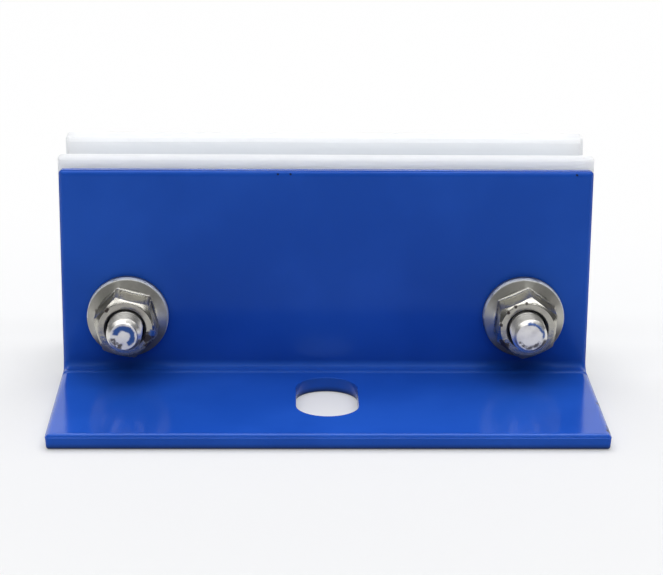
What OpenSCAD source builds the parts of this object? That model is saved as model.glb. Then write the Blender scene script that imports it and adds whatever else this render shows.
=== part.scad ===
// Sliding guide shoe: a folded steel angle that carries a plastic rail channel on two flange-nut bolts.
// The origin is the centre of the fixing slot on the underside of the base.
// X runs along the rail, Y from the free edge of the base towards the rail, Z up.

/* [Angle bracket] */
// Length of the bracket along the rail
plate_length = 140; // [132:1:220]
// Thickness of the folded sheet
plate_thickness = 4; // [3:0.5:6]
// Depth of the base, from its free edge to the back of the upright
base_depth = 55; // [50:1:90]
// Height of the upright, from the underside of the base
upright_height = 58; // [50:1:64]
// Inside radius of the fold
bend_radius = 2; // [1:0.5:4]
// Rounding of the free edges on the inside face of the fold
inside_edge_round = 1.6; // [0.4:0.1:2]
// Rounding of the free edges on the outside face of the fold
outside_edge_round = 1; // [0.2:0.1:1]
// Radius of the four free corners
corner_round = 1; // [0.5:0.5:4]

/* [Fixing slot] */
// Width of the oblong slot in the base
fixing_slot_width = 16; // [10:0.5:20]
// Length of the oblong slot, over its round ends
fixing_slot_length = 29; // [22:1:34]
// Distance from the free edge of the base to the middle of the slot
fixing_slot_setback = 28; // [24:0.5:32]

/* [Rail channel] */
// Length of the liner along the rail
liner_length = 141; // [132:1:220]
// Height of the liner above the underside of the base
liner_height = 60.5; // [58:0.5:80]
// Wall between the upright and the rail slot
backed_wall = 5; // [3:0.5:10]
// Width of the rail slot
rail_slot_width = 17; // [8:0.5:20]
// Depth of the rail slot below the top of the liner
rail_slot_depth = 30; // [15:1:32]
// Free wall on the far side of the rail slot
free_wall = 8; // [5:0.5:18]
// Radius in the two corners at the bottom of the rail slot
slot_root_radius = 2; // [0.5:0.5:4]
// Rounding of the outer long edges of the liner
liner_edge_round = 0.8; // [0.3:0.1:2]
// Radius of the liner's two upper corners, seen from the front
liner_corner_round = 0.5; // [0.5:0.5:6]
// Size of the bevels that lead the rail into the slot
lead_in = 1; // [0.5:0.25:2]

/* [Bolts] */
// Distance between the two bolts
bolt_spacing = 105; // [80:1:108]
// Height of the bolts above the underside of the base
bolt_height = 18.75; // [17:0.25:21]
// Diameter of the bolts
bolt_diameter = 10; // [8:1:10]
// Length of each bolt under its head
bolt_length = 55; // [53:1:70]
// Width of the bolt head across its flats
head_across_flats = 16; // [13:0.5:18]
// Height of the bolt head
head_height = 6.4; // [5:0.1:8]
// Bevel at the threaded end
bolt_end_bevel = 1.5; // [0.5:0.25:2]
// Gap around a bolt in the bracket and the liner
hole_clearance = 0.5; // [0.2:0.1:0.8]

/* [Flange nuts] */
// Width of the nut across its flats
nut_across_flats = 15; // [13:0.5:17]
// Height of the nut over its collar
nut_height = 12.9; // [12:0.1:15]
// Height of the hexagon with the flange
hexagon_height = 12.2; // [8:0.1:12.5]
// Diameter of the flange
flange_diameter = 21.5; // [19:0.5:24]
// Thickness of the flange at its rim, before the rim is rounded
flange_rim = 3.2; // [0.8:0.1:4]
// Rounding of the rim
flange_round = 0.6; // [0.2:0.1:2.5]
// Slope of the top of the flange, in degrees
flange_slope = 21; // [10:1:30]
// Diameter of the round collar that holds the insert
collar_diameter = 14; // [12.5:0.5:15]
// Rounding of the collar's outer edge
collar_round = 0.6; // [0.2:0.1:1.2]
// Thickness of the lip over the insert
collar_lip = 0.8; // [0.5:0.1:1.2]
// Gap between the bolt and the lip
lip_gap = 0.45; // [0.2:0.05:0.6]
// Depth of the countersink at the mouth of the bore
nut_countersink = 0.2; // [0.1:0.1:0.4]
// Diameter of the locking insert
insert_diameter = 12; // [11.5:0.1:12.3]
// Height of the locking insert
insert_height = 2.2; // [1.5:0.1:2.4]
// Turn of the left nut about its bolt, in degrees, seen from the front
left_nut_turn = 46; // [0:1:60]
// Turn of the right nut about its bolt, in degrees, seen from the front
right_nut_turn = 24; // [0:1:60]
// Gap between the bolt and the bore of the nut
thread_clearance = 0.05; // [0.02:0.01:0.1]

/* [Washers] */
// Outside diameter of the washers
washer_diameter = 20; // [17:0.5:24]
// Thickness of the washers
washer_thickness = 2; // [1.5:0.25:3]
// Gap between the bolt and the hole of the washer
washer_clearance = 0.25; // [0.1:0.05:0.5]

/* [Hidden] */
$fn = 96;
hexagon = 6;
spill = 1;
chamfer_angle = 30;
washer_bevel = 0.4;
left = -1;
right = 1;

free_edge_y = -fixing_slot_setback;
upright_back_y = free_edge_y + base_depth;
upright_front_y = upright_back_y - plate_thickness;
outer_bend_radius = bend_radius + plate_thickness;

liner_depth = backed_wall + rail_slot_width + free_wall;
liner_back_y = upright_back_y + liner_depth;
rail_slot_floor = liner_height - rail_slot_depth;
rail_slot_y = upright_back_y + backed_wall;

head_seat_y = liner_back_y + washer_thickness;
bolt_radius = bolt_diameter / 2;
bore_radius = bolt_radius + thread_clearance;
insert_floor = nut_height - collar_lip - insert_height;
hole_radius = bolt_radius + hole_clearance;

// Stands a Y-Z profile up and draws it out along X, centred
module draw_along_x(length) {
    rotate([90, 0, 90])
        linear_extrude(height = length, center = true)
            children();
}

// Turns a shape that grows along +Z so that it grows forwards, along -Y, on a bolt's centre line
module on_bolt_axis(side, y) {
    translate([side * bolt_spacing / 2, y, bolt_height])
        rotate([90, 0, 0])
            children();
}

// Holes for both bolts, through a wall of the given thickness whose far face is at y
module bolt_holes(y, thickness) {
    for (side = [left, right])
        on_bolt_axis(side, y + spill)
            cylinder(h = thickness + 2 * spill, r = hole_radius);
}

// Quarter-round spandrel that is cut away to round a corner at the origin
module corner_waste(radius) {
    difference() {
        translate([-spill, -spill])
            square(radius + spill);
        translate([radius, radius])
            circle(radius);
    }
}

// One leg of the fold: a strip that ends at x = 0 with a rounding on each face, and runs in +x
module leg_profile(length) {
    difference() {
        square([length, plate_thickness]);
        corner_waste(outside_edge_round);
        translate([0, plate_thickness])
            mirror([0, 1])
                corner_waste(inside_edge_round);
    }
}

// Section of the folded strip, seen along the rail
module fold_profile() {
    translate([free_edge_y, 0])
        leg_profile(base_depth - outer_bend_radius);
    translate([upright_back_y, upright_height])
        rotate(-90)
            mirror([0, 1])
                leg_profile(upright_height - outer_bend_radius);
    translate([upright_back_y - outer_bend_radius, outer_bend_radius])
        intersection() {
            difference() {
                circle(outer_bend_radius);
                circle(bend_radius);
            }
            translate([0, -outer_bend_radius])
                square(outer_bend_radius);
        }
}

// Waste at the two ends of an edge that lies along x at y = 0, with the piece on its +y side
module end_corner_waste(length, radius) {
    for (side = [left, right])
        translate([side * length / 2, 0])
            mirror([side == right ? 1 : 0, 0])
                corner_waste(radius);
}

// Waste at the two upper corners of a wall across Y, its far face at y and its top at the given height
module upper_corner_cut(length, radius, y, thickness, height) {
    translate([0, y + spill, height])
        rotate([90, 0, 0])
            linear_extrude(height = thickness + 2 * spill)
                mirror([0, 1])
                    end_corner_waste(length, radius);
}

// Oblong hole through the base
module fixing_slot() {
    straight = fixing_slot_length - fixing_slot_width;
    depth = plate_thickness + 2 * spill;
    translate([0, 0, -spill])
        linear_extrude(height = depth) {
            square([fixing_slot_width, straight], center = true);
            for (end = [-straight / 2, straight / 2])
                translate([0, end])
                    circle(fixing_slot_width / 2);
        }
}

module angle_bracket() {
    color([0.05, 0.2, 0.62])
        difference() {
            draw_along_x(plate_length)
                fold_profile();
            fixing_slot();
            bolt_holes(upright_back_y, plate_thickness);
            translate([0, free_edge_y, -spill])
                linear_extrude(height = plate_thickness + 2 * spill)
                    end_corner_waste(plate_length, corner_round);
            upper_corner_cut(plate_length, corner_round, upright_back_y, plate_thickness, upright_height);
        }
}

// Section of the rail slot with round inner corners and a bevelled mouth, its floor at y = 0
module rail_slot_profile() {
    difference() {
        square([rail_slot_width, rail_slot_depth + spill]);
        corner_waste(slot_root_radius);
        translate([rail_slot_width, 0])
            mirror([1, 0])
                corner_waste(slot_root_radius);
    }
    mouth = rail_slot_depth + spill;
    polygon([
        [0, rail_slot_depth - lead_in],
        [-lead_in - spill, mouth],
        [rail_slot_width + lead_in + spill, mouth],
        [rail_slot_width, rail_slot_depth - lead_in]
    ]);
}

// Section of the liner: a solid foot with two walls on either side of the rail slot
module liner_profile() {
    difference() {
        square([liner_depth, liner_height]);
        translate([backed_wall, rail_slot_floor])
            rail_slot_profile();
        for (x = [0, liner_depth], y = [0, liner_height])
            translate([x, y])
                mirror([x > 0 ? 1 : 0, 0])
                    mirror([0, y > 0 ? 1 : 0])
                        corner_waste(liner_edge_round);
    }
}

// Wedge that opens one end of the rail slot, drawn in plan with the end of the liner at x = 0
module slot_end_flare() {
    polygon([
        [spill, -lead_in - spill],
        [-lead_in, 0],
        [-lead_in, rail_slot_width],
        [spill, rail_slot_width + lead_in + spill]
    ]);
}

module guide_liner() {
    color([0.92, 0.94, 0.95])
        difference() {
            translate([0, upright_back_y, 0])
                draw_along_x(liner_length)
                    liner_profile();
            for (side = [left, right])
                translate([side * liner_length / 2, rail_slot_y, rail_slot_floor])
                    linear_extrude(height = rail_slot_depth + spill)
                        mirror([side == left ? 1 : 0, 0])
                            slot_end_flare();
            bolt_holes(liner_back_y, liner_depth);
            upper_corner_cut(liner_length, liner_corner_round, liner_back_y, liner_depth, liner_height);
        }
}

// Hexagonal prism with its outer corners turned off at the top end
module chamfered_hexagon(across_flats, height) {
    corner_radius = across_flats / sqrt(3);
    flat_radius = across_flats / 2;
    cone_radius = flat_radius + height * tan(90 - chamfer_angle);
    intersection() {
        cylinder(h = height, r = corner_radius, $fn = hexagon);
        rotate_extrude()
            polygon([
                [0, 0],
                [cone_radius, 0],
                [flat_radius, height],
                [0, height]
            ]);
    }
}

// Round part of the nut, on z = 0: the sloping flange, whose rounded rim meets the slope, and the collar
module nut_round_profile() {
    flange_radius = flange_diameter / 2;
    cone_top = flange_rim + flange_radius * tan(flange_slope);
    rim_round = min(flange_round, flange_rim);
    rim_x = flange_radius - rim_round;
    rim_z = flange_rim + rim_round * tan(flange_slope) - rim_round / cos(flange_slope);
    polygon([
        [0, 0],
        [flange_radius, 0],
        [flange_radius, rim_z],
        [rim_x, rim_z],
        [rim_x + rim_round * sin(flange_slope), rim_z + rim_round * cos(flange_slope)],
        [0, cone_top]
    ]);
    translate([rim_x, rim_z])
        intersection() {
            circle(rim_round);
            square(rim_round);
        }
    difference() {
        square([collar_diameter / 2, nut_height]);
        translate([collar_diameter / 2, nut_height])
            rotate(180)
                corner_waste(collar_round);
    }
}

// Nut that sits on z = 0 and grows upwards, flange first, with a seat for its insert under the lip
module flange_nut() {
    lip_radius = bolt_radius + lip_gap;
    countersink_height = nut_countersink + spill;
    difference() {
        union() {
            chamfered_hexagon(nut_across_flats, hexagon_height);
            rotate_extrude()
                nut_round_profile();
        }
        translate([0, 0, -spill])
            cylinder(h = insert_floor + spill, r = bore_radius);
        translate([0, 0, insert_floor])
            cylinder(h = insert_height, r = insert_diameter / 2);
        translate([0, 0, insert_floor])
            cylinder(h = nut_height - insert_floor + spill, r = lip_radius);
        translate([0, 0, nut_height - nut_countersink])
            cylinder(h = countersink_height, r1 = lip_radius, r2 = lip_radius + countersink_height);
    }
}

// Ring that locks the thread, at its height in the nut
module locking_insert() {
    translate([0, 0, insert_floor])
        difference() {
            cylinder(h = insert_height, r = insert_diameter / 2);
            translate([0, 0, -spill])
                cylinder(h = insert_height + 2 * spill, r = bore_radius);
        }
}

// Bolt whose head sits below z = 0 and whose shank grows upwards
module hex_bolt() {
    mirror([0, 0, 1])
        chamfered_hexagon(head_across_flats, head_height);
    cylinder(h = bolt_length - bolt_end_bevel, r = bolt_radius);
    translate([0, 0, bolt_length - bolt_end_bevel])
        cylinder(h = bolt_end_bevel, r1 = bolt_radius, r2 = bolt_radius - bolt_end_bevel);
}

// Flat washer on z = 0, with the rim on its z = 0 side bevelled
module flat_washer() {
    rim = washer_diameter / 2;
    hole = bolt_radius + washer_clearance;
    rotate_extrude()
        polygon([
            [hole, 0],
            [rim - washer_bevel, 0],
            [rim, washer_bevel],
            [rim, washer_thickness],
            [hole, washer_thickness]
        ]);
}

// Nut of one side, seated on the front of the upright
module seated_nut(side, turn) {
    color("silver")
        on_bolt_axis(side, upright_front_y)
            rotate(turn)
                flange_nut();
}

// Locking insert of one side, held in the collar of its nut
module seated_insert(side) {
    color("dimgray")
        on_bolt_axis(side, upright_front_y)
            locking_insert();
}

// Bolt of one side, with its head on the washer and its end in front of the nut
module seated_bolt(side) {
    color("lightgray")
        on_bolt_axis(side, head_seat_y)
            hex_bolt();
}

// Washer of one side, between the bolt head and the free wall of the liner
module seated_washer(side) {
    color("gainsboro")
        on_bolt_axis(side, head_seat_y)
            flat_washer();
}

module left_flange_nut() {
    seated_nut(left, left_nut_turn);
}

module right_flange_nut() {
    seated_nut(right, right_nut_turn);
}

module left_nut_insert() {
    seated_insert(left);
}

module right_nut_insert() {
    seated_insert(right);
}

module left_hex_bolt() {
    seated_bolt(left);
}

module right_hex_bolt() {
    seated_bolt(right);
}

module left_washer() {
    seated_washer(left);
}

module right_washer() {
    seated_washer(right);
}

angle_bracket();
guide_liner();
left_flange_nut();
right_flange_nut();
left_nut_insert();
right_nut_insert();
left_hex_bolt();
right_hex_bolt();
left_washer();
right_washer();
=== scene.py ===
"""Looks of a sliding guide shoe: an enamelled angle, a nylon rail channel and zinc-plated fasteners."""
import math

import bmesh
import bpy
from bpy.props import FloatProperty, FloatVectorProperty, PointerProperty
from mathutils import Matrix, Vector


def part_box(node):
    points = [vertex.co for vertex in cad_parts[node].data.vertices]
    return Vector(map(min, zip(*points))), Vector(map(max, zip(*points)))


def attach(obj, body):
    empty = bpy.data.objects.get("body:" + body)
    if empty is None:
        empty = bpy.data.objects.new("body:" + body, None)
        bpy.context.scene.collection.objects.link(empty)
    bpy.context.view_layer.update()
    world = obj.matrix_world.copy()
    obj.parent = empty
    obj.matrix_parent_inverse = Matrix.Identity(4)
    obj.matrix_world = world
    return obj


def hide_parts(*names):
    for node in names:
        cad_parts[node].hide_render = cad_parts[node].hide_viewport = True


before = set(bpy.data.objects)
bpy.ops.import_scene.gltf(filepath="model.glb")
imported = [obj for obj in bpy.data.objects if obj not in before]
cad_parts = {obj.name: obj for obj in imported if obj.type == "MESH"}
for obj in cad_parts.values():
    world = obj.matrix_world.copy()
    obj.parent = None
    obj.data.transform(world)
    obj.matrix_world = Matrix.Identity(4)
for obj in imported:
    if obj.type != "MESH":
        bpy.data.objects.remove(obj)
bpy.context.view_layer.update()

bl_info = {
    "name": "Guide shoe looks",
    "version": (1, 0, 0),
    "blender": (4, 5, 0),
    "location": "View3D > Sidebar > Guide Shoe",
    "description": "Models and finishes the pieces of a sliding guide shoe around its packed frame",
    "category": "Mesh",
}

MM = 0.001
WELD = 0.002 * MM
SHARP_ANGLE = math.radians(38)
QUARTER_TURN = math.radians(90)
FULL_TURN = 2 * math.pi
HEX_SIDES = 6

BRACKET_LOW, BRACKET_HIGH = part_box("angle_bracket")
LINER_LOW, LINER_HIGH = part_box("guide_liner")
SIDES = ("left", "right")

HOLE_SEGMENTS = 64
RING_SEGMENTS = 128
BOLT_SEGMENTS = 144
NUT_SEGMENTS = 240
THREAD_STEPS = 72
BEND_CUTS = 14
FLOOR_DROP = 0.05 * MM
BACKDROP_Y = 1.3

# Chips in the enamel, in millimetres: along the right edge how far in, then Y and Z; along the top edge X
EDGE_NICKS = ((0.0, -4.5, 3.6), (0.0, -21.5, 3.4), (0.4, -24.2, 3.4))
TOP_SPECKS = (-12.8, -9.5, 65.5)
SPECK_DROP = 0.8 * MM

# Marks on the fronts of the nuts, across and up from the bolt's centre line, in millimetres
CHIPS = {
    "left": ((-4.5, 5.4), (-4.8, 5.0)),
    "right": ((-5.2, 4.7), (-3.4, 6.4), (-0.5, 7.4), (-7.0, 1.3)),
}
# Dark brown spots on the faces of the nuts.
DARK_SPOTS = {"left": ((5.8, -2.4), (6.3, -4.2)), "right": ((-6.2, -4.4),)}
PAINT_MARKS = {"left": ((7.5, -1.1),), "right": ((0.0, -9.8),)}

# Arcs on the ends of the bolts: first and last angle in degrees, inner and outer radius in millimetres
SMEARS = {"left": (-57, 164, 1.8, 2.7), "right": (0, 95, 3.5, 3.6)}
# Painted shade on the lower part of each bolt's end, broken into patches.
LOW_END_SHADE = {"left": (-165, -105, 2.4, 3.2), "right": (-150, -30, 2.7, 3.0)}
# Painted shade on the lower bevel of each bolt's end.
BEVEL_SHADE = (-160, -20, 4.0, 5.0)

# Lights that point at the origin, under the name of their power: place, width and depth
LIGHTS = {
    "overhead": ((0.05, 0.55, 1.25), 1.5, 1.1),
    "top_front": ((0.0, -0.33, 1.25), 3.0, 0.26),
    "front": ((0.0, -0.86, 0.83), 1.4, 0.3),
}


def bolt_axis(side):
    """The X and Z of one bolt's centre line, taken from its washer."""
    low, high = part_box(f"{side}_washer")
    centre = (low + high) / 2
    return centre.x, centre.z


def on_bolt_axis(side, y):
    """Stands a piece that grows along Z on a bolt's centre line, growing forwards from y."""
    axis_x, axis_z = bolt_axis(side)
    return Matrix.Translation((axis_x, y, axis_z)) @ Matrix.Rotation(QUARTER_TURN, 4, "X")


# Settings


def length(name, description, millimetres):
    """A length that a user may change, given in millimetres."""
    return FloatProperty(
        name=name, description=description, default=millimetres * MM, min=0.0, precision=5, unit="LENGTH"
    )


def angle(name, description, degrees):
    """An angle that a user may change, given in degrees."""
    return FloatProperty(name=name, description=description, default=math.radians(degrees), unit="ROTATION")


def colour(name, description, red, green, blue):
    """A colour that a user may change, in linear light."""
    opaque = (red, green, blue, 1.0)
    return FloatVectorProperty(
        name=name, description=description, default=opaque, size=4, min=0.0, max=1.0, subtype="COLOR"
    )


def share(name, description, value):
    """A share that a user may change, between none and all."""
    return FloatProperty(
        name=name, description=description, default=value, min=0.0, max=1.0, subtype="FACTOR"
    )


def strength(name, description, value, unit="NONE"):
    """A strength of light that a user may change."""
    return FloatProperty(name=name, description=description, default=value, min=0.0, unit=unit)


class BracketSettings(bpy.types.PropertyGroup):
    """Sizes and colours of the folded angle."""

    thickness: length("Sheet thickness", "Thickness of the folded sheet", 4)
    bend_radius: length("Bend radius", "Inside radius of the fold", 2)
    inside_edge: length("Inside edge", "Rounding of the free edges inside the fold", 1.6)
    outside_edge: length("Outside edge", "Rounding of the free edges outside the fold", 1)
    shear_depth: length("Shear depth", "Depth of the rolled part of the sheared edges", 0.75)
    shear_ledge: length("Shear ledge", "Width of the ledge between the rolled part and the torn part", 0.25)
    shear_lean: length("Shear lean", "How far the torn part leans in towards the lower face", 0.2)
    hole_edge: length("Hole edge", "Rounding of the edges of the holes", 0.3)
    corner_radius: length("Corner radius", "Radius of the four free corners", 1)
    slot_width: length("Slot width", "Width of the fixing slot", 16)
    slot_length: length("Slot length", "Length of the fixing slot over its round ends", 29)
    hole_radius: length("Bolt hole radius", "Radius of the two bolt holes", 5.5)
    enamel: colour("Enamel", "Colour of the enamel where it lies thin", 0.017, 0.096, 0.53)
    enamel_deep: colour("Deep enamel", "Colour of the enamel where it lies thick", 0.012, 0.078, 0.46)
    gloss: colour("Gloss", "Colour of what the enamel mirrors", 0.25, 0.45, 0.9)
    # Also the colour of the painted shade along the foot of the angle.
    chip_and_foot_shade: colour("Chipped edge", "Colour of the steel under a chip", 0.012, 0.016, 0.03)


class LinerSettings(bpy.types.PropertyGroup):
    """Sizes and colours of the rail channel."""

    backed_wall: length("Backed wall", "Wall between the upright and the rail slot", 5)
    slot_width: length("Rail slot width", "Width of the rail slot", 17)
    slot_depth: length("Rail slot depth", "Depth of the rail slot below the top", 30)
    root_radius: length("Root radius", "Radius in the corners at the bottom of the rail slot", 2)
    edge_round: length("Edge rounding", "Rounding of the outer long edges", 0.8)
    end_round: length("End rounding", "Rounding of the edges of the sawn ends", 0.5)
    lead_in: length("Lead-in", "Size of the bevels that lead the rail in", 1)
    hole_radius: length("Bolt hole radius", "Radius of the two bolt holes", 5.5)
    nylon: colour("Nylon", "Colour of the nylon", 0.79, 0.82, 0.87)
    nylon_shade: colour("Nylon shade", "Colour of the nylon where the surface is worn", 0.76, 0.79, 0.84)


class FastenerSettings(bpy.types.PropertyGroup):
    """Sizes and colours of the nuts, bolts and washers."""

    thread_radius: length("Thread radius", "Radius over the crests of the thread", 4.6)
    thread_depth: length("Thread depth", "Height of the thread from root to crest", 0.9)
    thread_pitch: length("Thread pitch", "Distance from crest to crest", 1.5)
    thread_length: length("Thread length", "Length of the thread from the end of the bolt", 26)
    shank_radius: length("Shank radius", "Radius of the plain shank", 5)
    end_bevel: length("End bevel", "Bevel at the threaded end", 1.5)
    head_across_flats: length("Head width", "Width of the bolt head across its flats", 16)
    nut_across_flats: length("Nut width", "Width of the nut across its flats", 15)
    hexagon_height: length("Hexagon height", "Height of the hexagon with the flange", 12.7)
    shoulder_radius: length("Shoulder", "Radius at which the chamfer of the hexagon ends", 7.2)
    collar_radius: length("Collar", "Radius of the round collar of the nut", 7.2)
    collar_round: length("Collar rounding", "Rounding of the collar's outer edge", 0.25)
    lip_radius: length("Lip radius", "Radius of the opening in the lip", 5.45)
    nut_bore_radius: length("Nut bore", "Radius of the bore of the nut and of its insert", 5.05)
    flange_rim: length("Flange rim", "Thickness of the flange at its rim, before the rim is rounded", 3.2)
    flange_slope: angle("Flange slope", "Slope of the top of the flange", 21)
    flange_round: length("Flange rounding", "Rounding of the upper edge of the flange's rim", 0.6)
    flange_foot: length("Flange foot", "Rounding of the lower edge of the flange's rim", 0.3)
    hex_corner: length("Hexagon corner", "Rounding of the hexagon's upright corners", 0.8)
    chamfer: angle("Nut chamfer", "Slope of the chamfer on the corners of the nuts", 45)
    head_chamfer: angle("Head chamfer", "Slope of the chamfer on the corners of the bolt heads", 30)
    left_turn: angle("Left nut turn", "Turn of the left nut, seen from the front", 46)
    right_turn: angle("Right nut turn", "Turn of the right nut, seen from the front", 24)
    washer_hole: length("Washer hole", "Radius of the hole in a washer", 5.25)
    washer_edge: length("Washer edge", "Rounding of the washer's punched edge", 0.4)
    nut_zinc: colour("Nut zinc", "Colour of the clean plating of the nuts", 0.47, 0.46, 0.415)
    nut_dull: colour("Dull nut zinc", "Colour of the dulled plating of the nuts", 0.4, 0.385, 0.35)
    # Pale chalky zinc, laid on the upper rim of the nuts as a painted highlight.
    chalky_rim_highlight: colour("Rim zinc", "Colour of the chalky plating on the rim of the nuts", 0.72, 0.75, 0.77)
    bolt_zinc: colour("Bolt zinc", "Colour of the clean plating of the bolts", 0.8, 0.78, 0.74)
    bolt_dull: colour("Dull bolt zinc", "Colour of the dulled plating of the bolts", 0.7, 0.68, 0.64)
    head_zinc: colour("Head zinc", "Colour of the plating of the heads and washers", 0.55, 0.56, 0.56)
    insert: colour("Insert", "Colour of the locking inserts", 0.012, 0.012, 0.015)
    insert_worn: colour("Worn insert", "Colour of the inserts where they are worn", 0.03, 0.03, 0.035)
    # Dark brown used for chips and dark spots, and also for the painted shade round the threads, under the
    # nuts and on the lower bolt ends.
    stain_and_shade: colour("Stain", "Colour of old oil in the corners", 0.03, 0.018, 0.012)
    smear: colour("Smear", "Colour of the enamel smeared on the bolt ends", 0.03, 0.11, 0.36)


class StageSettings(bpy.types.PropertyGroup):
    """The camera, the lights and the floor."""

    camera_place: FloatVectorProperty(
        name="Camera place", description="Where the camera stands", default=(-0.01153, -0.53729, 0.19976),
        precision=5, subtype="XYZ", unit="LENGTH",
    )
    camera_pitch: angle("Camera pitch", "How far the camera looks down", 17.2)
    camera_yaw: angle("Camera yaw", "How far the camera is turned to the left", -1.3269)
    camera_roll: angle("Camera roll", "How far the camera is tilted", 0.5081)
    lens: FloatProperty(name="Lens", description="Focal length", default=120.08, unit="CAMERA")
    floor_reach: length("Floor reach", "Half the width of the floor", 2500)
    floor: colour("Floor", "Colour of the floor", 0.77, 0.77, 0.78)
    floor_bounce: colour("Floor bounce", "Colour of the light that the floor throws back", 0.75, 0.75, 0.76)
    near_glow: share("Near glow", "Share of plain white in the floor next to the piece", 0.25)
    far_glow: share("Far glow", "Share of plain white in the floor away from the piece", 0.95)
    near_reach: length("Near reach", "Where the floor starts to turn from the near to the far glow", 70)
    far_reach: length("Far reach", "Where the floor has the far glow", 240)
    room: colour("Room", "Colour of the room's light", 0.96, 0.98, 1.0)
    room_low: strength("Low room light", "Strength of the room's light near the horizon", 0.12)
    room_high: strength("High room light", "Strength of the room's light from above", 0.5)
    overhead: strength("Overhead light", "Power of the large overhead light", 15.0, "POWER")
    top_front: strength("Top front light", "Power of the narrow light above the front", 7.0, "POWER")
    front: strength("Front light", "Power of the long light in front", 1.3, "POWER")


# Shader nodes


class Wire:
    """A socket that can stand in an expression; each operator adds a Math node."""

    def __init__(self, finish, socket):
        self.finish = finish
        self.socket = socket

    def output(self, name):
        """Another output of the same node."""
        return Wire(self.finish, self.socket.node.outputs[name])

    def math(self, operation, *values):
        return self.finish.node("ShaderNodeMath", {"operation": operation}, dict(enumerate(values)))

    def __add__(self, other):
        return self.math("ADD", self, other)

    def __radd__(self, other):
        return self.math("ADD", other, self)

    def __sub__(self, other):
        return self.math("SUBTRACT", self, other)

    def __rsub__(self, other):
        return self.math("SUBTRACT", other, self)

    def __mul__(self, other):
        return self.math("MULTIPLY", self, other)

    def __or__(self, other):
        """The larger of two masks."""
        return self.math("MAXIMUM", self, other)

    def hypotenuse(self, other):
        square = self * self + other * other
        return self.math("SQRT", square)

    def turn_from(self, across):
        """The angle of a point whose height is this wire and whose width is the other."""
        return self.math("ARCTAN2", self, across)


class Finish:
    """A material or a world whose nodes are all added by one method."""

    def __init__(self, owner):
        owner.use_nodes = True
        self.tree = owner.node_tree
        self.tree.nodes.clear()

    def node(self, kind, settings=None, sockets=None, output=0):
        """Adds a node, makes its settings, then gives its sockets their values or links."""
        node = self.tree.nodes.new(kind)
        for name, value in (settings or {}).items():
            setattr(node, name, value)
        for key, value in (sockets or {}).items():
            if isinstance(value, Wire):
                self.tree.links.new(value.socket, node.inputs[key])
            else:
                node.inputs[key].default_value = value
        return Wire(self, node.outputs[output]) if node.outputs else None

    def place(self):
        return self.node("ShaderNodeTexCoord", output="Object")

    def split(self, vector):
        x = self.node("ShaderNodeSeparateXYZ", sockets={0: vector}, output="X")
        return x, x.output("Y"), x.output("Z")

    def noise(self, vector, scale, detail=2.0, roughness=0.5):
        sockets = {"Vector": vector, "Scale": scale, "Detail": detail, "Roughness": roughness}
        return self.node("ShaderNodeTexNoise", sockets=sockets)

    def grit(self, vector, scale):
        """Noise with much fine detail."""
        return self.noise(vector, scale, detail=3.0, roughness=0.6)

    def drawn(self, vector, scale, detail=2.0, roughness=0.5):
        """Noise drawn out along each axis where the scale is small."""
        stretched = self.node("ShaderNodeMapping", sockets={"Vector": vector, "Scale": scale})
        return self.noise(stretched, 1.0, detail, roughness)

    def step(self, value, low, high):
        """A mask that rises smoothly from 0 at low to 1 at high."""
        sockets = {"Value": value, "From Min": low, "From Max": high}
        return self.node("ShaderNodeMapRange", {"interpolation_type": "SMOOTHSTEP"}, sockets)

    def band(self, value, low, high, soft):
        """A mask that is 1 between two values and fades out softly past them."""
        return self.step(value, low - soft, low) * (1 - self.step(value, high, high + soft))

    def sector(self, turn, first, last, soft):
        """A mask between two angles, given in degrees."""
        return self.band(turn, math.radians(first), math.radians(last), math.radians(soft))

    def arc(self, away, turn, arc):
        """A mask along part of a ring."""
        first, last, inner, outer = arc
        ring = self.band(away, inner * MM, outer * MM, soft=0.5 * MM)
        return ring * self.sector(turn, first, last, soft=11.46)

    def spots(self, vector, centres, radius, ragged):
        """A mask of spots about given points, with an outline made ragged by noise."""
        lumps, core = 1.3 / radius, 0.6 * radius
        edge = (self.grit(vector, lumps) - 0.5) * (ragged * radius)
        mask = None
        for centre in centres:
            away = self.node(
                "ShaderNodeVectorMath", {"operation": "DISTANCE"}, {0: vector, 1: centre}, output="Value"
            )
            spot = 1 - self.step(away + edge, core, radius)
            mask = spot if mask is None else mask | spot
        return mask

    def mix(self, factor, first, second):
        """A colour that goes from the first to the second as the factor rises."""
        return self.node("ShaderNodeMix", {"data_type": "RGBA"}, {0: factor, 6: first, 7: second}, output=2)

    def bump(self, height, distance, normal=None):
        sockets = {"Strength": 1.0, "Distance": distance, "Height": height}
        if normal:
            sockets["Normal"] = normal
        return self.node("ShaderNodeBump", sockets=sockets)

    def surface(self, shader):
        self.node("ShaderNodeOutputMaterial", sockets={"Surface": shader})

    def principled(self, sockets):
        """Ends a material in one principled shader."""
        self.surface(self.node("ShaderNodeBsdfPrincipled", sockets=sockets))


def new_material(name):
    material = bpy.data.materials.new(name)
    return material, Finish(material)


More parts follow.
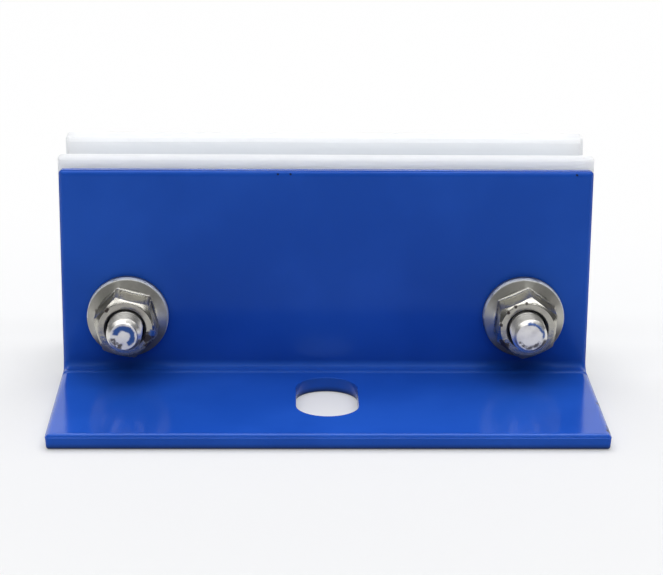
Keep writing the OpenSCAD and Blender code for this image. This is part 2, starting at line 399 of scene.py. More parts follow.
def blue_enamel(settings):
    """Glossy blue enamel on steel, chipped at some edges, with painted shade along its foot and swollen
    before the bend.
    """
    material, finish = new_material("blue_enamel")
    place = finish.place()
    y, z = finish.split(place)[1:]
    front = BRACKET_HIGH.y - settings.thickness
    flow = finish.step(finish.noise(place, scale=30.0, detail=3.0), low=0.35, high=0.68)
    body = finish.mix(flow, settings.enamel_deep, settings.enamel)
    nicked = [(BRACKET_HIGH.x - inset * MM, along * MM, up * MM) for inset, along, up in EDGE_NICKS]
    specked = [(across * MM, front, BRACKET_HIGH.z - SPECK_DROP) for across in TOP_SPECKS]
    nicks = finish.spots(place, nicked, radius=1.1 * MM, ragged=0.9)
    nicks = nicks | finish.spots(place, specked, radius=0.4 * MM, ragged=1.4)
    # Painted shade: the enamel turns towards the chip colour over the lowest 1.8 mm, where the lower edge
    # faces the floor.
    foot = 1 - finish.step(z, low=0.0, high=1.8 * MM)
    wipe = finish.drawn(place, (9.0, 60.0, 60.0), detail=4.0, roughness=0.6)
    fine = finish.noise(place, scale=2600.0)
    peel = finish.noise(place, scale=420.0, detail=2.0, roughness=0.45)
    normal = finish.bump(finish.drawn(place, (55.0, 120.0, 120.0)), distance=0.02 * MM)
    normal = finish.bump(peel, distance=0.009 * MM, normal=normal)
    normal = finish.bump(nicks, distance=-0.12 * MM, normal=normal)
    bend_front = front - settings.bend_radius
    drift = (finish.drawn(place, (60.0, 1.0, 1.0)) - 0.5) * (0.8 * MM)
    rise = finish.step(y + drift, low=bend_front - 3.4 * MM, high=bend_front - 0.8 * MM)
    swelling = rise * finish.step(z, low=1.0 * MM, high=3.0 * MM)
    normal = finish.bump(swelling, distance=1.2 * MM, normal=normal)
    finish.principled(
        {
            "Base Color": finish.mix(nicks | foot * 0.85, body, settings.chip_and_foot_shade),
            "Roughness": 0.1 + wipe * 0.05 + fine * 0.02 + nicks * 0.35,
            "IOR": 1.38,
            "Specular Tint": settings.gloss,
            "Normal": normal,
        }
    )
    return material


def white_nylon(settings):
    """Milky nylon with fine planing marks along the rail."""
    material, finish = new_material("white_nylon")
    place = finish.place()
    cloud = finish.noise(place, scale=45.0, detail=3.0)
    marks = finish.drawn(place, (25.0, 1500.0, 1500.0), detail=3.0, roughness=0.6)
    rubbed = finish.drawn(place, (30.0, 160.0, 160.0), detail=4.0, roughness=0.6)
    rub = finish.step(rubbed, low=0.52, high=0.75)
    finish.principled(
        {
            "Base Color": finish.mix(rub * 0.5 + cloud * 0.5, settings.nylon, settings.nylon_shade),
            "Roughness": 0.34 + marks * 0.14 + rub * 0.1,
            "IOR": 1.53,
            "Specular IOR Level": 0.08,
            "Normal": finish.bump(marks, distance=0.01 * MM),
            "Subsurface Weight": 1.0,
            "Subsurface Radius": (1.0, 1.0, 1.0),
            "Subsurface Scale": 20 * MM,
        }
    )
    return material


def polar(finish, place, side):
    """The distance from a bolt's centre line, the angle about it seen from the front, and Y."""
    x, y, z = finish.split(place)
    axis_x, axis_z = bolt_axis(side)
    across = x - axis_x
    height = z - axis_z
    return across.hypotenuse(height), height.turn_from(across), y


def zinc_base(finish, place, clean, dulled, least_roughness):
    """Colour, roughness and normal of zinc plating with dull clouds, scratches and forge marks."""
    cloud = finish.noise(place, scale=260.0, detail=4.0, roughness=0.6)
    scratch = finish.drawn(place, (4200.0, 500.0, 900.0), detail=2.0, roughness=0.6)
    dull = finish.step(cloud, low=0.4, high=0.66)
    roughness = least_roughness + dull * 0.08 + scratch * 0.08
    normal = finish.bump(finish.noise(place, scale=420.0), distance=0.06 * MM)
    normal = finish.bump(finish.grit(place, scale=1700.0), distance=0.012 * MM, normal=normal)
    return finish.mix(dull, clean, dulled), roughness, normal


def zinc_nut(settings, side, face, rim_radius, rim_front):
    """Zinc plating of one nut, chalky on the upper rim as a painted highlight, with painted shade round the
    thread and on its lower side.
    """
    material, finish = new_material(f"{side}_zinc_nut")
    place = finish.place()
    clean, dulled = settings.nut_zinc, settings.nut_dull
    body, roughness, normal = zinc_base(finish, place, clean, dulled, least_roughness=0.1)
    away, turn, y = polar(finish, place, side)

    def spots(marks, radius, ragged):
        centres = [face + Vector((across, 0.0, up)) * MM for across, up in marks[side]]
        return finish.spots(place, centres, radius, ragged)

    worn = finish.step(finish.grit(place, scale=350.0), low=0.25, high=0.5)
    front = 1 - finish.step(y, low=rim_front + 1.2 * MM, high=rim_front + 2.0 * MM)
    edge = finish.step(away, low=rim_radius - 0.4 * MM, high=rim_radius - 0.1 * MM)
    # Painted highlight: pale chalky zinc on the upper front part of the rim only, where the light falls,
    # broken up by wear.
    rim = edge * finish.sector(turn, -30, 180, soft=30) * worn * front
    body = finish.mix(rim, body, settings.chalky_rim_highlight)
    # Painted shade in the recess round the thread, in dark brown.
    bore_shade = 1 - finish.step(away, low=5.2 * MM, high=5.8 * MM)
    # Painted shade on the lower side of the nut's face, below its centre.
    underside_shade = finish.step(away, low=5.6 * MM, high=7.6 * MM) * finish.sector(turn, -130, -30, soft=30) * 0.7
    marks = spots(CHIPS, radius=0.6 * MM, ragged=1.2) | spots(DARK_SPOTS, radius=1.9 * MM, ragged=1.8)
    darkened = bore_shade | marks | underside_shade
    film = (1 - finish.step(away, low=6.8 * MM, high=7.6 * MM)) * 0.22
    body = finish.mix(darkened | film, body, settings.stain_and_shade)
    paint = spots(PAINT_MARKS, radius=1.3 * MM, ragged=1.5)
    cover = darkened | paint
    flange = finish.step(away, low=7.6 * MM, high=8.6 * MM)
    finish.principled(
        {
            "Base Color": finish.mix(paint, body, settings.smear),
            "Roughness": roughness + cover * 0.2 + rim * 0.3 + flange * 0.2,
            "Metallic": 1 - (cover | rim * 0.8),
            "Normal": normal,
        }
    )
    return material


def zinc_bolt(settings, side):
    """Zinc plating of one bolt, with smeared enamel on its end, painted shade in patches on the lower part
    of its end and painted shade on its lower bevel.
    """
    material, finish = new_material(f"{side}_zinc_bolt")
    place = finish.place()
    clean, dulled = settings.bolt_zinc, settings.bolt_dull
    body, roughness, normal = zinc_base(finish, place, clean, dulled, least_roughness=0.26)
    away, turn, y = polar(finish, place, side)
    low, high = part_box(f"{side}_hex_bolt")
    at_end = 1 - finish.step(y, low=low.y + 1.1 * MM, high=low.y + 1.6 * MM)
    ragged = away + (finish.grit(place, scale=900.0) - 0.5) * (1.1 * MM)
    patches = finish.step(finish.grit(place, scale=1300.0), low=0.34, high=0.52)
    smear = finish.arc(ragged, turn, SMEARS[side]) * at_end
    # Painted shade on the lower part of the end, broken into patches.
    low_end_shade = finish.arc(ragged, turn, LOW_END_SHADE[side]) * at_end * patches * 0.85
    # Painted shade on the lower bevel of the end.
    underside_shade = finish.arc(away, turn, BEVEL_SHADE) * at_end * 0.85
    darkened = low_end_shade | underside_shade
    head = finish.step(y, low=high.y - 20 * MM, high=high.y - 15 * MM)
    body = finish.mix(head * 0.8, body, settings.head_zinc)
    body = finish.mix(darkened, body, settings.stain_and_shade)
    cover = smear | darkened
    finish.principled(
        {
            "Base Color": finish.mix(smear, body, settings.smear),
            "Roughness": roughness + cover * 0.25,
            "Metallic": 1 - cover,
            "Normal": normal,
        }
    )
    return material


def zinc_washer(settings):
    """Zinc plating of the washers."""
    material, finish = new_material("zinc_washer")
    clean, dulled = settings.head_zinc, settings.nut_zinc
    body, roughness, normal = zinc_base(finish, finish.place(), clean, dulled, least_roughness=0.2)
    finish.principled({"Base Color": body, "Roughness": roughness, "Metallic": 1.0, "Normal": normal})
    return material


def dark_nylon(settings):
    """Dark nylon of the locking inserts, a little worn by the thread."""
    material, finish = new_material("dark_nylon")
    grain = finish.grit(finish.place(), scale=1500.0)
    body = finish.mix(grain, settings.insert, settings.insert_worn)
    finish.principled({"Base Color": body, "Roughness": 0.45 + grain * 0.2})
    return material


def pale_floor(settings):
    """Pale floor that keeps the shadow, and that the camera and mirrors see as near white."""
    material, finish = new_material("pale_floor")
    seen = finish.node("ShaderNodeLightPath", output="Is Camera Ray")
    direct = seen | seen.output("Is Glossy Ray") | seen.output("Is Transmission Ray")
    pale = finish.node("ShaderNodeBsdfDiffuse", sockets={"Color": settings.floor})
    muted = finish.node("ShaderNodeBsdfDiffuse", sockets={"Color": settings.floor_bounce})
    white = finish.node("ShaderNodeEmission", sockets={"Color": (1.0, 1.0, 1.0, 1.0), "Strength": 1.0})
    away = finish.node("ShaderNodeVectorMath", {"operation": "LENGTH"}, {0: finish.place()}, output="Value")
    far = finish.step(away, settings.near_reach, settings.far_reach)
    glow = settings.near_glow + far * (settings.far_glow - settings.near_glow)
    glowing = finish.node("ShaderNodeMixShader", sockets={0: glow, 1: pale, 2: white})
    finish.surface(finish.node("ShaderNodeMixShader", sockets={0: direct, 1: muted, 2: glowing}))
    return material


# Pieces


def finish_piece(bm, name, material, node, matrix=None):
    """Welds a bmesh, turns it into a piece in its place and lets it stand for a CAD node."""
    bmesh.ops.remove_doubles(bm, verts=bm.verts, dist=WELD)
    bmesh.ops.recalc_face_normals(bm, faces=bm.faces)
    if matrix:
        bmesh.ops.transform(bm, matrix=matrix, verts=bm.verts)
    mesh = bpy.data.meshes.new(name)
    bm.to_mesh(mesh)
    bm.free()
    mesh.shade_smooth()
    mesh.set_sharp_from_angle(angle=SHARP_ANGLE)
    mesh.materials.append(material)
    piece = bpy.data.objects.new(name, mesh)
    bpy.context.scene.collection.objects.link(piece)
    shading = piece.modifiers.new("Even shading", "WEIGHTED_NORMAL")
    shading.keep_sharp = True
    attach(piece, "root")
    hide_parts(node)
    return piece


def closed_loop(bm, points):
    """A ring of edges through points in order."""
    verts = [bm.verts.new(point) for point in points]
    return [bm.edges.new((verts[i - 1], verts[i])) for i in range(len(verts))]


def spread(start, stop, steps):
    """Evenly spaced values, both ends included."""
    return [start + (stop - start) * i / steps for i in range(steps + 1)]


def arc_points(centre, radius, start, stop, steps):
    """Points on an arc in the plane z = 0, both ends included."""
    middle = Vector((*centre, 0))
    return [middle + radius * Vector((math.cos(t), math.sin(t), 0)) for t in spread(start, stop, steps)]


def rounded_outline(low, high, radius, steps=8):
    """Corner arcs of a rectangle, counter-clockwise from the lower right."""
    points = []
    left, right = low[0] + radius, high[0] - radius
    near, far = low[1] + radius, high[1] - radius
    for quarter, centre in enumerate(((right, near), (right, far), (left, far), (left, near))):
        start = (quarter - 1) * QUARTER_TURN
        points += arc_points(centre, radius, start, start + QUARTER_TURN, steps)
    return points


def oblong_outline(width, whole_length, steps=24):
    """An oblong about the origin, long along Y."""
    reach = (whole_length - width) / 2
    far = arc_points((0, reach), width / 2, 0, math.pi, steps)
    near = arc_points((0, -reach), width / 2, math.pi, FULL_TURN, steps)
    return far + near


def only(kind, items):
    """The items of one kind."""
    return [item for item in items if isinstance(item, kind)]


def cut_across(bm, faces, place, direction):
    """Cuts faces along a plane and returns them with the new ones."""
    edges = {edge for face in faces for edge in face.edges}
    verts = {vert for face in faces for vert in face.verts}
    made = bmesh.ops.bisect_plane(
        bm, geom=list(verts) + list(edges) + list(faces), dist=WELD, plane_co=place, plane_no=direction
    )
    return only(bmesh.types.BMFace, made["geom"])


def fill_with_holes(bm, loops, columns):
    """Fills between loops, then leaves one face between each two columns along X."""
    made = bmesh.ops.triangle_fill(bm, use_beauty=True, edges=[edge for loop in loops for edge in loop])
    faces = only(bmesh.types.BMFace, made["geom"])
    for column in columns:
        faces = cut_across(bm, faces, (column, 0, 0), (1, 0, 0))
    groups = {}
    for face in faces:
        centre = face.calc_center_median().x
        groups.setdefault(sum(centre > column for column in columns), []).append(face)
    for group in groups.values():
        bmesh.ops.dissolve_faces(bm, faces=group, use_verts=False)


def fold_blank(bm, settings, bend_start, bend_length):
    """Folds the part of a flat blank that lies past the bend's start up by a quarter turn."""
    axis_z = settings.thickness + settings.bend_radius
    for vert in bm.verts:
        past = vert.co.y - bend_start
        if past <= 0:
            continue
        reach = axis_z - vert.co.z
        turn = min(past / bend_length, 1.0) * QUARTER_TURN
        vert.co.y = bend_start + reach * math.sin(turn)
        vert.co.z = axis_z - reach * math.cos(turn) + max(past - bend_length, 0.0)


def edge_stations(thickness, lower, upper, steps=6):
    """How far the edge of a sheet is drawn in, and at what height, from its lower face to its upper one."""
    leans = spread(0.0, QUARTER_TURN, steps)
    stations = [(lower * (1 - math.sin(lean)), lower * (1 - math.cos(lean))) for lean in leans]
    stations += [(upper * (1 - math.cos(lean)), thickness - upper * (1 - math.sin(lean))) for lean in leans]
    return stations


def sheared_stations(settings, steps=6):
    """Stations of a sheared edge: torn and leaning in below a small ledge, rolled over above it."""
    ledge, lean_in = settings.shear_ledge, settings.shear_lean
    shear = settings.thickness - settings.shear_depth
    leans = spread(0.0, QUARTER_TURN, steps)
    torn = settings.outside_edge - lean_in
    stations = [(settings.outside_edge - torn * math.sin(t), torn * (1 - math.cos(t))) for t in leans]
    stations += [(ledge / 4, shear - 2 * ledge), (0.0, shear - 0.6 * ledge)]
    stations.append((ledge / 8, shear - 0.4 * ledge))
    roll_in, roll_down = settings.inside_edge - ledge, settings.shear_depth
    stations += [(ledge + roll_in * (1 - math.cos(t)), shear + roll_down * math.sin(t)) for t in leans]
    return stations


def sleeve(bm, outlines):
    """A wall through closed outlines in order; returns the edges of the first and of the last."""
    loops = [closed_loop(bm, outline) for outline in outlines]
    for near, far in zip(loops, loops[1:]):
        bmesh.ops.bridge_loops(bm, edges=near + far)
    return loops[0], loops[-1]


def at_height(points, z):
    return [(point.x, point.y, z) for point in points]


def bracket_mesh(settings):
    """A flat blank with its holes, rounded along its edges and folded into an angle."""
    thickness = settings.thickness
    bend_start = BRACKET_HIGH.y - thickness - settings.bend_radius
    bend_length = (settings.bend_radius + thickness / 2) * QUARTER_TURN
    upright_start = thickness + settings.bend_radius
    blank_end = bend_start + bend_length + BRACKET_HIGH.z - upright_start
    bolt_places = [bolt_axis(side) for side in SIDES]
    bolt_y = bend_start + bend_length + bolt_places[0][1] - upright_start
    least_corner = settings.corner_radius / 10

    def plate_outline(inset):
        low = (BRACKET_LOW.x + inset, BRACKET_LOW.y + inset)
        high = (BRACKET_HIGH.x - inset, blank_end - inset)
        return rounded_outline(low, high, max(settings.corner_radius - inset, least_corner))

    rim = sheared_stations(settings)
    hole_rim = edge_stations(thickness, settings.hole_edge, settings.hole_edge, 3)
    bm = bmesh.new()
    walls = [sleeve(bm, [at_height(plate_outline(inset), z) for inset, z in rim])]
    slots = []
    for open_by, z in hole_rim:
        slot = oblong_outline(settings.slot_width + 2 * open_by, settings.slot_length + 2 * open_by)
        slots.append(at_height(slot, z))
    walls.append(sleeve(bm, slots))
    for bolt_x, _ in bolt_places:
        circles = []
        for open_by, z in hole_rim:
            radius = settings.hole_radius + open_by
            circle = arc_points((bolt_x, bolt_y), radius, 0, FULL_TURN, HOLE_SEGMENTS)[:-1]
            circles.append(at_height(circle, z))
        walls.append(sleeve(bm, circles))
    for face_loops in zip(*walls):
        fill_with_holes(bm, face_loops, (bolt_places[0][0], 0.0, bolt_places[1][0]))
    for cut in range(BEND_CUTS + 1):
        cut_across(bm, bm.faces[:], (0, bend_start + bend_length * cut / BEND_CUTS, 0), (0, 1, 0))
    fold_blank(bm, settings, bend_start, bend_length)
    return bm


def liner_section(settings, inset, flare):
    """Section of the liner across the rail as Y and Z, with its outline drawn in and its slot opened out."""
    front, back, top = LINER_LOW.y, LINER_HIGH.y, LINER_HIGH.z
    low = front + settings.backed_wall - flare
    high = front + settings.backed_wall + settings.slot_width + flare
    floor = top - settings.slot_depth
    edge, root, lead_in = settings.edge_round, settings.root_radius, settings.lead_in
    half_turn = 2 * QUARTER_TURN
    points = arc_points((front + edge, edge), edge - inset, half_turn, half_turn + QUARTER_TURN, 4)
    points += arc_points((back - edge, edge), edge - inset, -QUARTER_TURN, 0.0, 4)
    points += arc_points((back - edge, top - edge), edge - inset, 0.0, QUARTER_TURN, 4)
    points += [Vector((high + lead_in - inset, top - inset, 0.0)), Vector((high, top - lead_in, 0.0))]
    points += arc_points((high - root, floor + root), root, 0.0, -QUARTER_TURN, 8)
    points += arc_points((low + root, floor + root), root, -QUARTER_TURN, -half_turn, 8)
    points += [Vector((low, top - lead_in, 0.0)), Vector((low - lead_in + inset, top - inset, 0.0))]
    points += arc_points((front + edge, top - edge), edge - inset, QUARTER_TURN, half_turn, 4)
    return [(point.x, point.y) for point in points]


def liner_mesh(settings):
    """A channel along the rail, rounded at its sawn ends, flared into its slot, with two bolt holes."""
    end, lead_in = settings.end_round, settings.lead_in
    stations = []
    for lean in spread(0.0, QUARTER_TURN, 4):
        back_from_end = end * (1 - math.cos(lean))
        stations.append((back_from_end, end * (1 - math.sin(lean)), lead_in - back_from_end))
    stations.append((lead_in, 0.0, 0.0))
    places = [(LINER_LOW.x + step, inset, flare) for step, inset, flare in stations]
    places += [(LINER_HIGH.x - step, inset, flare) for step, inset, flare in reversed(stations)]
    bm = bmesh.new()
    sections = [[(x, y, z) for y, z in liner_section(settings, inset, flare)] for x, inset, flare in places]
    for end_loop in sleeve(bm, sections):
        bmesh.ops.edgeloop_fill(bm, edges=end_loop)
    bmesh.ops.recalc_face_normals(bm, faces=bm.faces)
    bore_bolt_holes(bm, LINER_LOW.y, LINER_HIGH.y, settings.hole_radius)
    return bm


def bore_bolt_holes(bm, front, back, radius):
    """Cuts two round holes from the front face of a block to its back face."""
    rings = {side: [] for side in SIDES}
    columns = [bolt_axis(side)[0] for side in SIDES]
    for y in (front, back):
        flat = [face for face in bm.faces if all(abs(vert.co.y - y) < WELD for vert in face.verts)]
        face = max(flat, key=lambda one: one.calc_area())
        border = list(face.edges)
        bmesh.ops.delete(bm, geom=[face], context="FACES_ONLY")
        loops = [border]
        for side in SIDES:
            made = bmesh.ops.create_circle(
                bm, segments=HOLE_SEGMENTS, radius=radius, matrix=on_bolt_axis(side, y)
            )
            ring = list({edge for vert in made["verts"] for edge in vert.link_edges})
            rings[side] += ring
            loops.append(ring)
        fill_with_holes(bm, loops, columns)
    for ring in rings.values():
        bmesh.ops.bridge_loops(bm, edges=ring)


def hexagon_radius(across_flats, corner, turn):
    """The radius of a hexagon with rounded corners, as a function of the angle."""
    sector = FULL_TURN / HEX_SIDES
    flat = across_flats / 2
    centre = (flat - corner) / math.cos(sector / 2)

    def radius(at):
        from_corner = (at - turn + sector / 2) % sector - sector / 2
        side = flat / math.cos(sector / 2 - math.fabs(from_corner))
        offset = centre * math.sin(from_corner)
        if math.fabs(offset) >= corner:
            return side
        return min(side, centre * math.cos(from_corner) + math.sqrt(corner**2 - offset**2))

    return radius


def grow_rings(bm, rings, segments):
    """Grows a tube along Z ring by ring and returns the edges of its first and last ring.

    A ring is a radius and a height. The radius may depend on the angle, and the height on the radius."""
    made = bmesh.ops.create_circle(bm, segments=segments, radius=1.0)
    verts = made["verts"]
    edges = list({edge for vert in verts for edge in vert.link_edges})
    first = edges
    for number, (radius, height) in enumerate(rings):
        if number:
            grown = bmesh.ops.extrude_edge_only(bm, edges=edges)["geom"]
            verts = only(bmesh.types.BMVert, grown)
            fresh = set(verts)
            edges = [edge for edge in only(bmesh.types.BMEdge, grown) if fresh.issuperset(edge.verts)]
        for vert in verts:
            at = math.atan2(vert.co.y, vert.co.x)
            reach = radius(at) if callable(radius) else radius
            rise = height(reach) if callable(height) else height
            vert.co = (reach * math.cos(at), reach * math.sin(at), rise)
    return first, edges


def closed_ring(rings, segments):
    """A ring of solid section, grown through its rings and closed on the first."""
    bm = bmesh.new()
    first, last = grow_rings(bm, rings, segments)
    bmesh.ops.bridge_loops(bm, edges=first + last)
    return bm


def rounded_step(radius, height, size, start, stop, steps=4):
    """Rings round an outer edge whose arc of the given size ends on the radius."""
    centre = radius - size
    return [(centre + size * math.cos(t), height + size * math.sin(t)) for t in spread(start, stop, steps)]


def nut_mesh(settings, height, flange_radius, turn, insert):
    """A flange nut that stands on z = 0: rounded rim, sloping flange, chamfered hexagon, collar and lip.

    The insert is the radius, the lower and the upper height of its seat in the collar."""
    fillet = 0.5 * MM
    crisp = 0.12 * MM
    slope = math.tan(settings.flange_slope)
    fall = math.tan(settings.chamfer)
    hexagon = hexagon_radius(settings.nut_across_flats, settings.hex_corner, turn)
    seat_radius, seat_low, seat_high = insert

    def flange_top(radius):
        return settings.flange_rim + (flange_radius - radius) * slope

    def chamfer_top(radius):
        return settings.hexagon_height - (radius - settings.shoulder_radius) * fall

    rim_round, foot = settings.flange_round, settings.flange_foot
    rim_centre = flange_top(flange_radius - rim_round) - rim_round / math.cos(settings.flange_slope)
    rings = [(settings.nut_bore_radius, 0.0)]
    rings += rounded_step(flange_radius, foot, foot, -QUARTER_TURN, 0.0)
    rings += rounded_step(flange_radius, rim_centre, rim_round, 0.0, QUARTER_TURN - settings.flange_slope, 8)
    for lean in spread(0.0, QUARTER_TURN, 4):
        out = fillet * (1 - math.sin(lean))
        up = fillet * (1 - math.cos(lean))
        rings.append((lambda at, out=out: hexagon(at) + out, lambda radius, up=up: flange_top(radius) + up))
    rings.append((hexagon, chamfer_top))
    rings.append((settings.shoulder_radius + crisp, chamfer_top))
    collar, lip_round = settings.collar_radius, settings.collar_round
    rings += rounded_step(collar, height - lip_round, lip_round, QUARTER_TURN / 3, QUARTER_TURN, 8)
    rings += [
        (settings.lip_radius + crisp, height),
        (settings.lip_radius, height - crisp),
        (settings.lip_radius, seat_high),
        (seat_radius, seat_high),
        (seat_radius, seat_low),
        (settings.nut_bore_radius, seat_low),
    ]
    return closed_ring(rings, NUT_SEGMENTS)


def insert_mesh(settings, radius, low, high):
    """The ring that locks the thread, at its height in the nut."""
    bore = settings.nut_bore_radius
    return closed_ring([(bore, low), (radius, low), (radius, high), (bore, high)], RING_SEGMENTS)


def thread_tube(bm, settings, start, end):
    """A helical thread along Z between two heights, bevelled at its end; returns its start and end loops."""
    pitch, crest = settings.thread_pitch, settings.thread_radius
    root = crest - settings.thread_depth
    crest_half, root_half = pitch / 14, pitch / 8
    section = [(root, 0.0), (root, root_half)]
    section += [(crest, pitch / 2 - crest_half), (crest, pitch / 2 + crest_half)]
    section += [(root, pitch - root_half), (root, pitch)]
    low = start - 2 * pitch
    verts = [bm.verts.new((radius, 0, low + rise)) for radius, rise in section]
    edges = [bm.edges.new(pair) for pair in zip(verts, verts[1:])]
    turns = math.ceil((end - low) / pitch) + 2
    bmesh.ops.spin(
        bm, geom=verts + edges, cent=(0, 0, 0), axis=(0, 0, 1), dvec=(0, 0, pitch / THREAD_STEPS),
        angle=FULL_TURN * turns, steps=THREAD_STEPS * turns,
    )
    bmesh.ops.remove_doubles(bm, verts=bm.verts, dist=WELD)
    bevel_start = end - settings.end_bevel
    for vert in bm.verts:
        reach = vert.co.xy.length
        limit = settings.shank_radius - max(vert.co.z - bevel_start, 0.0)
        if reach > limit > 0:
            vert.co.xy *= limit / reach
    loops = []
    for height, direction in ((end, 1), (start, -1)):
        geom = bm.verts[:] + bm.edges[:] + bm.faces[:]
        made = bmesh.ops.bisect_plane(
            bm, geom=geom, dist=WELD, plane_co=(0, 0, height), plane_no=(0, 0, direction), clear_outer=True
        )
        loops.append(only(bmesh.types.BMEdge, made["geom_cut"]))
    return loops[1], loops[0]


def bolt_mesh(settings, whole_length, head_height):
    """A hexagon bolt whose head lies below z = 0 and whose thread ends at its length."""
    crisp = 0.15 * MM
    face_radius = 0.47 * settings.head_across_flats
    fall = math.tan(settings.head_chamfer)
    hexagon = hexagon_radius(settings.head_across_flats, settings.hex_corner, 0.0)

    def chamfer_top(radius):
        return (radius - face_radius) * fall - head_height

    thread_start = whole_length - settings.thread_length
    bm = bmesh.new()
    tube_start, tube_end = thread_tube(bm, settings, thread_start, whole_length)
    bmesh.ops.edgeloop_fill(bm, edges=tube_end)
    rings = [
        (face_radius - crisp, -head_height),
        (face_radius + crisp, chamfer_top),
        (lambda at: hexagon(at) - crisp, chamfer_top),
        (hexagon, lambda radius: chamfer_top(radius) + crisp),
        (hexagon, -crisp),
        (lambda at: hexagon(at) - crisp, 0.0),
        (settings.shank_radius + crisp, 0.0),
        (settings.shank_radius, crisp),
        (settings.shank_radius, thread_start - settings.thread_depth),
    ]
    first, last = grow_rings(bm, rings, BOLT_SEGMENTS)
    bmesh.ops.edgeloop_fill(bm, edges=first)
    bmesh.ops.bridge_loops(bm, edges=last + tube_start)
    return bm


def washer_mesh(settings, radius, thickness):
    """A punched washer, rounded on the side that the head bears on."""
    size, hole = settings.washer_edge, settings.washer_hole
    crisp = 0.1 * MM
    rings = [(hole, 0.0)]
    rings += rounded_step(radius, size, size, -QUARTER_TURN, 0.0)
    rings += [(radius, thickness - crisp), (radius - crisp, thickness), (hole, thickness)]
    return closed_ring(rings, RING_SEGMENTS)


# Operators


class GUIDESHOE_OT_fold_bracket(bpy.types.Operator):
    """Make the folded angle with its slot and holes, in blue enamel"""

    bl_idname = "guide_shoe.fold_bracket"
    bl_label = "Fold the bracket"

    def execute(self, context):
        settings = context.scene.shoe_bracket
        material = blue_enamel(settings)
        finish_piece(bracket_mesh(settings), "enamelled_bracket", material, "angle_bracket")
        return {"FINISHED"}


class GUIDESHOE_OT_mill_liner(bpy.types.Operator):
    """Make the nylon rail channel"""

    bl_idname = "guide_shoe.mill_liner"
    bl_label = "Mill the liner"

    def execute(self, context):
        settings = context.scene.shoe_liner
        material = white_nylon(settings)
        finish_piece(liner_mesh(settings), "nylon_liner", material, "guide_liner")
        return {"FINISHED"}


class GUIDESHOE_OT_forge_nuts(bpy.types.Operator):
    """Make the two flange nuts in zinc plating, each with its locking insert"""

    bl_idname = "guide_shoe.forge_nuts"
    bl_label = "Forge the nuts"

    def execute(self, context):
        settings = context.scene.shoe_fasteners
        turns = {"left": settings.left_turn, "right": settings.right_turn}
        dark = dark_nylon(settings)
        for side in SIDES:
            node, insert_node = f"{side}_flange_nut", f"{side}_nut_insert"
            low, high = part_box(node)
            insert_low, insert_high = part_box(insert_node)
            seat = on_bolt_axis(side, high.y)
            face = Vector((seat.translation.x, low.y, seat.translation.z))
            rim_radius = (high.z - low.z) / 2
            ring = ((insert_high.x - insert_low.x) / 2, high.y - insert_high.y, high.y - insert_low.y)
            material = zinc_nut(settings, side, face, rim_radius, high.y - settings.flange_rim)
            mesh = nut_mesh(settings, high.y - low.y, rim_radius, turns[side], ring)
            finish_piece(mesh, f"{side}_plated_nut", material, node, seat)
            mesh = insert_mesh(settings, *ring)
            finish_piece(mesh, f"{side}_locking_insert", dark, insert_node, seat)
        return {"FINISHED"}


class GUIDESHOE_OT_thread_bolts(bpy.types.Operator):
    """Make the two hexagon bolts with their threads"""

    bl_idname = "guide_shoe.thread_bolts"
    bl_label = "Thread the bolts"

    def execute(self, context):
        settings = context.scene.shoe_fasteners
        for side in SIDES:
            node = f"{side}_hex_bolt"
            low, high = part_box(node)
            seat_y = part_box(f"{side}_washer")[1].y
            seat = on_bolt_axis(side, seat_y)
            mesh = bolt_mesh(settings, seat_y - low.y, high.y - seat_y)
            finish_piece(mesh, f"{side}_plated_bolt", zinc_bolt(settings, side), node, seat)
        return {"FINISHED"}


class GUIDESHOE_OT_punch_washers(bpy.types.Operator):
    """Make the two washers under the bolt heads"""

    bl_idname = "guide_shoe.punch_washers"
    bl_label = "Punch the washers"

    def execute(self, context):
        settings = context.scene.shoe_fasteners
        material = zinc_washer(settings)
        for side in SIDES:
            node = f"{side}_washer"
            low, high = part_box(node)
            seat = on_bolt_axis(side, high.y)
            mesh = washer_mesh(settings, (high.x - low.x) / 2, high.y - low.y)
            finish_piece(mesh, f"{side}_plated_washer", material, node, seat)
        return {"FINISHED"}


def area_lamp(name, place, width, depth, power):
    """A soft rectangular light that points at the origin."""
    data = bpy.data.lights.new(name, "AREA")
    data.shape = "RECTANGLE"
    data.size = width
    data.size_y = depth
    data.energy = power
    lamp = bpy.data.objects.new(name, data)
    lamp.location = place
    lamp.rotation_euler = (-Vector(place)).to_track_quat("-Z", "Y").to_euler()
    bpy.context.scene.collection.objects.link(lamp)


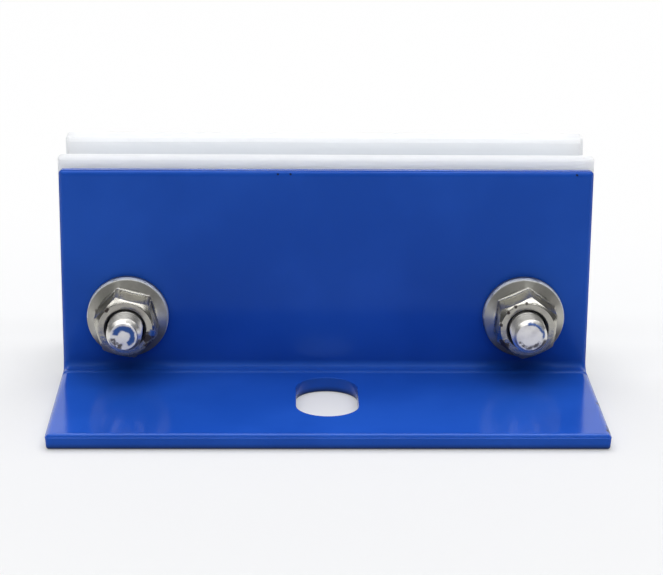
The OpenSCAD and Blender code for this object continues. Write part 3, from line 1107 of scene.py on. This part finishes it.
class GUIDESHOE_OT_set_stage(bpy.types.Operator):
    """Set the camera, the soft lights, the pale floor and the backdrop"""

    bl_idname = "guide_shoe.set_stage"
    bl_label = "Set the stage"

    def execute(self, context):
        scene = context.scene
        settings = scene.shoe_stage
        data = bpy.data.cameras.new("shoe_camera")
        data.lens = settings.lens
        data.sensor_width = 36.0
        data.clip_start = 0.01
        camera = bpy.data.objects.new("shoe_camera", data)
        heading = Matrix.Rotation(settings.camera_yaw, 4, "Z")
        tilt = Matrix.Rotation(QUARTER_TURN - settings.camera_pitch, 4, "X")
        roll = Matrix.Rotation(settings.camera_roll, 4, "Z")
        camera.matrix_world = Matrix.Translation(settings.camera_place) @ heading @ tilt @ roll
        scene.collection.objects.link(camera)
        scene.camera = camera
        scene.view_settings.view_transform = "Standard"

        world = bpy.data.worlds.new("soft_room")
        finish = Finish(world)
        up = finish.split(finish.node("ShaderNodeTexCoord", output="Generated"))[2]
        height = finish.step(up, low=0.2, high=0.9)
        light = settings.room_low + height * (settings.room_high - settings.room_low)
        room = finish.node("ShaderNodeBackground", sockets={"Color": settings.room, "Strength": light})
        finish.node("ShaderNodeOutputWorld", sockets={"Surface": room})
        scene.world = world
        for power, light in LIGHTS.items():
            area_lamp(f"{power}_light", *light, getattr(settings, power))

        reach = settings.floor_reach
        material = pale_floor(settings)
        for name, turn, place in (
            ("floor", Matrix.Identity(4), (0.0, 0.0, -FLOOR_DROP)),
            ("backdrop", Matrix.Rotation(QUARTER_TURN, 4, "X"), (0.0, BACKDROP_Y, reach)),
        ):
            bm = bmesh.new()
            stand = Matrix.Translation(place) @ turn
            bmesh.ops.create_grid(bm, x_segments=1, y_segments=1, size=reach, matrix=stand)
            mesh = bpy.data.meshes.new(name)
            bm.to_mesh(mesh)
            bm.free()
            mesh.materials.append(material)
            sheet = bpy.data.objects.new(name, mesh)
            scene.collection.objects.link(sheet)
        return {"FINISHED"}


class GUIDESHOE_PT_panel(bpy.types.Panel):
    """Lists the steps and their settings"""

    bl_idname = "GUIDESHOE_PT_panel"
    bl_label = "Guide Shoe"
    bl_space_type = "VIEW_3D"
    bl_region_type = "UI"
    bl_category = "Guide Shoe"

    def draw(self, context):
        layout = self.layout
        for group, operators in STEPS.items():
            section = layout.box()
            for operator in operators:
                section.operator(operator.bl_idname)
            settings = getattr(context.scene, group)
            for name in settings.__annotations__:
                section.prop(settings, name)


SETTINGS = {
    "shoe_bracket": BracketSettings,
    "shoe_liner": LinerSettings,
    "shoe_fasteners": FastenerSettings,
    "shoe_stage": StageSettings,
}
STEPS = {
    "shoe_bracket": (GUIDESHOE_OT_fold_bracket,),
    "shoe_liner": (GUIDESHOE_OT_mill_liner,),
    "shoe_fasteners": (GUIDESHOE_OT_forge_nuts, GUIDESHOE_OT_thread_bolts, GUIDESHOE_OT_punch_washers),
    "shoe_stage": (GUIDESHOE_OT_set_stage,),
}
OPERATORS = tuple(operator for operators in STEPS.values() for operator in operators)
CLASSES = (*SETTINGS.values(), *OPERATORS, GUIDESHOE_PT_panel)


def register():
    for one in CLASSES:
        bpy.utils.register_class(one)
    for name, group in SETTINGS.items():
        setattr(bpy.types.Scene, name, PointerProperty(type=group))


def unregister():
    for name in SETTINGS:
        delattr(bpy.types.Scene, name)
    for one in reversed(CLASSES):
        bpy.utils.unregister_class(one)


def main():
    """Registers the classes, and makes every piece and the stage."""
    register()
    bpy.ops.guide_shoe.fold_bracket()
    bpy.ops.guide_shoe.mill_liner()
    bpy.ops.guide_shoe.forge_nuts()
    bpy.ops.guide_shoe.thread_bolts()
    bpy.ops.guide_shoe.punch_washers()
    bpy.ops.guide_shoe.set_stage()


if __name__ == "__main__":
    main()
